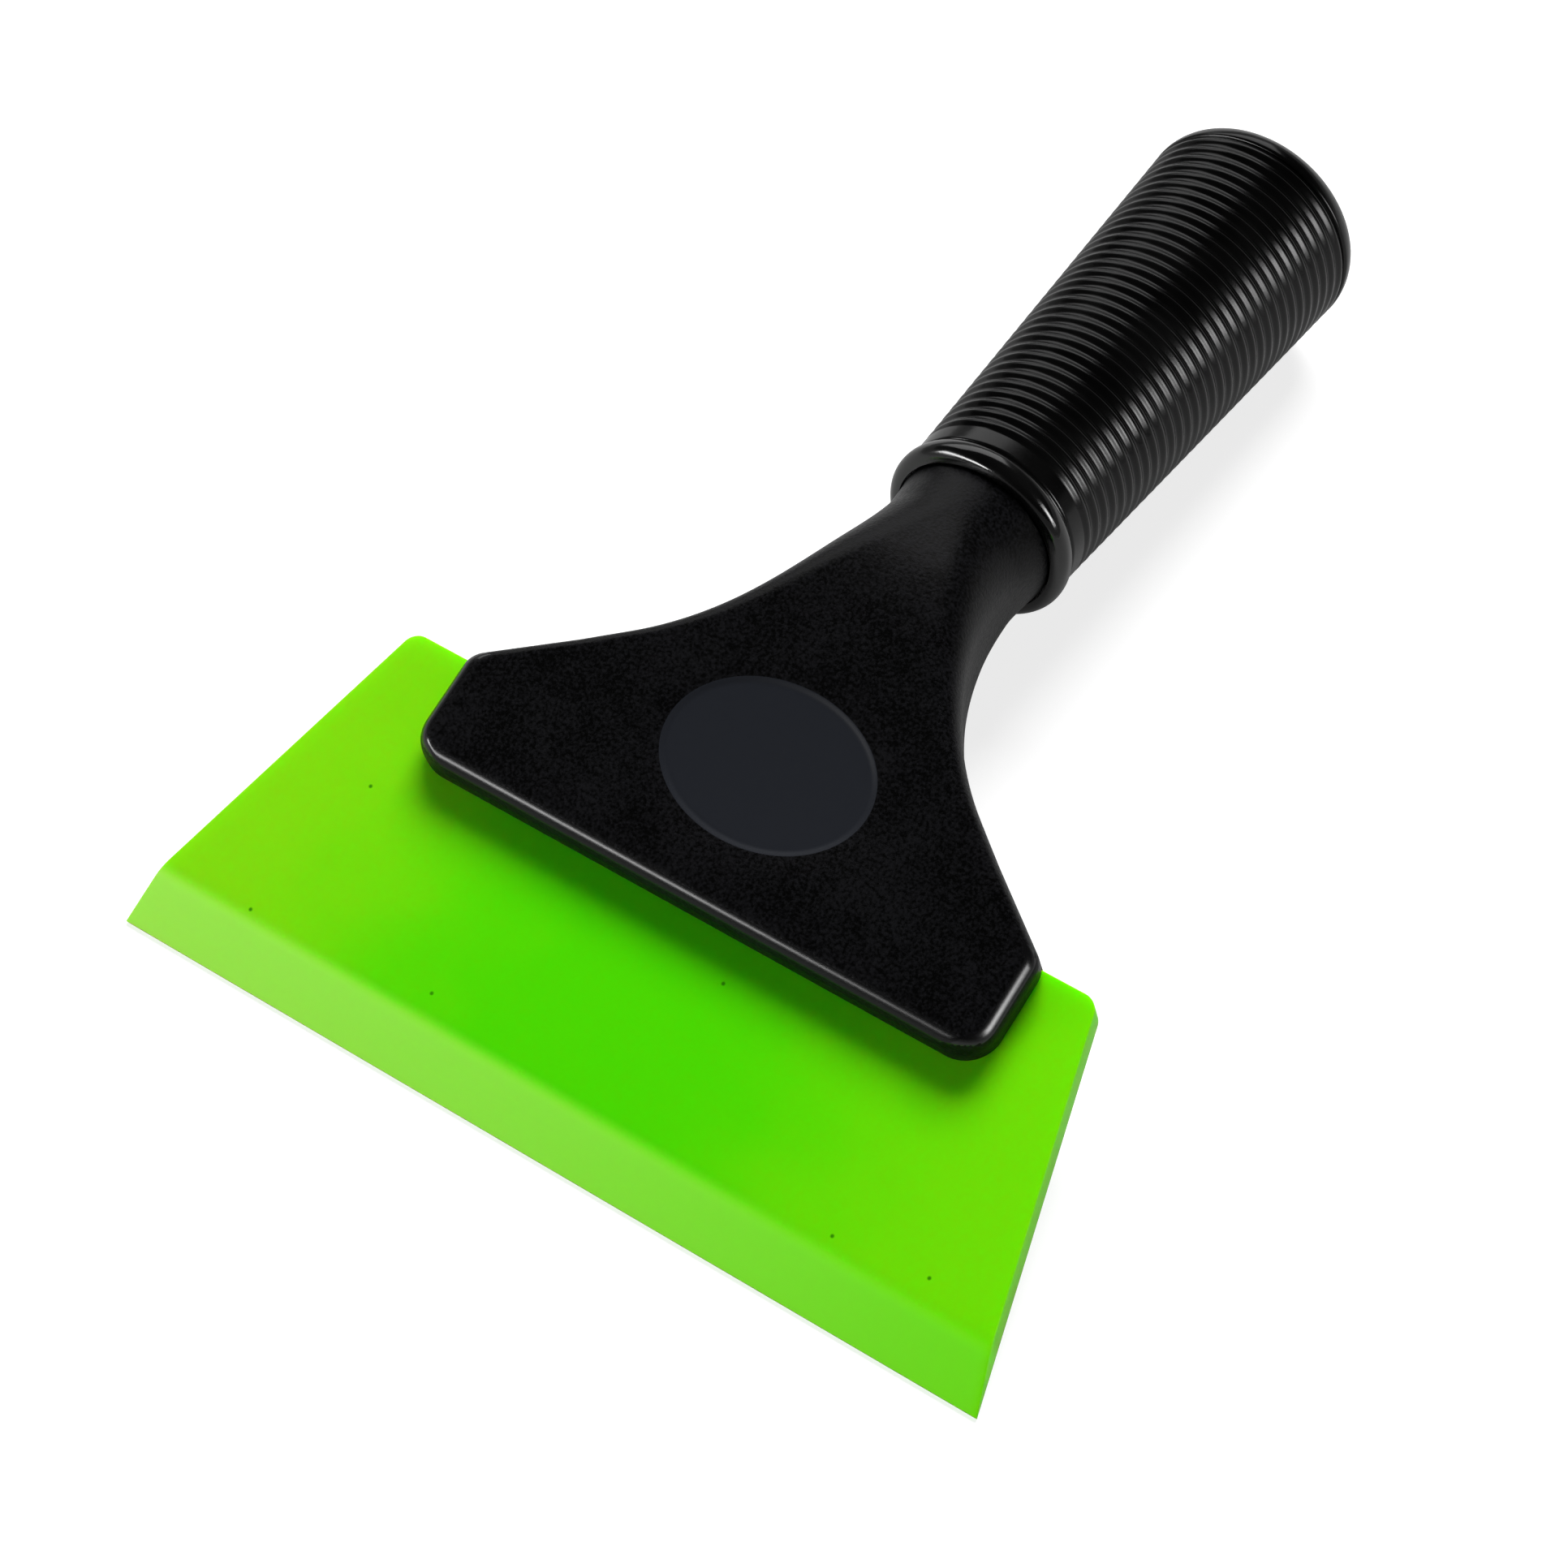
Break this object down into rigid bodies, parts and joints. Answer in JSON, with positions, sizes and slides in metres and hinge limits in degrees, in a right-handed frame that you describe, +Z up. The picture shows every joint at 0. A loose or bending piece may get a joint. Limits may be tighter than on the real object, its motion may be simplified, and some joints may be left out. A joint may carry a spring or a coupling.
{
  "type": "window tint squeegee",
  "caption": "Hand squeegee with a bevelled trapezoid blade clamped in the jaws of a fan-shaped moulded head, on a bent neck with a ringed grip, for pressing film onto glass.",
  "frame": {"origin": "under the middle of the tool's box, on the table that the tool lies on", "axes": "+X across the blade, +Y from the working edge towards the grip's far end, +Z up from the table"},
  "size_m": [0.127, 0.1748, 0.0352],
  "materials": {
    "blade_polyurethane": "lime green cast polyurethane, satin, slightly translucent",
    "moulded_plastic": "black moulded plastic with a fine spark-eroded texture",
    "grip_rubber": "glossy black moulded rubber",
    "screw_steel": "bright zinc plate"
  },
  "bodies": {
    "handle": {"handle_body": "moulded_plastic", "clamp_plate": "moulded_plastic", "grip_sleeve": "grip_rubber", "clamp_screw_left": "screw_steel", "clamp_screw_middle": "screw_steel", "clamp_screw_right": "screw_steel"},
    "blade": {"blade": "blade_polyurethane"}
  },
  "joints": [
    {"name": "blade_slide", "type": "slide", "parent": "handle", "child": "blade", "axis": [1, 0, 0], "range_m": [-0.08, 0.08]}
  ]
}
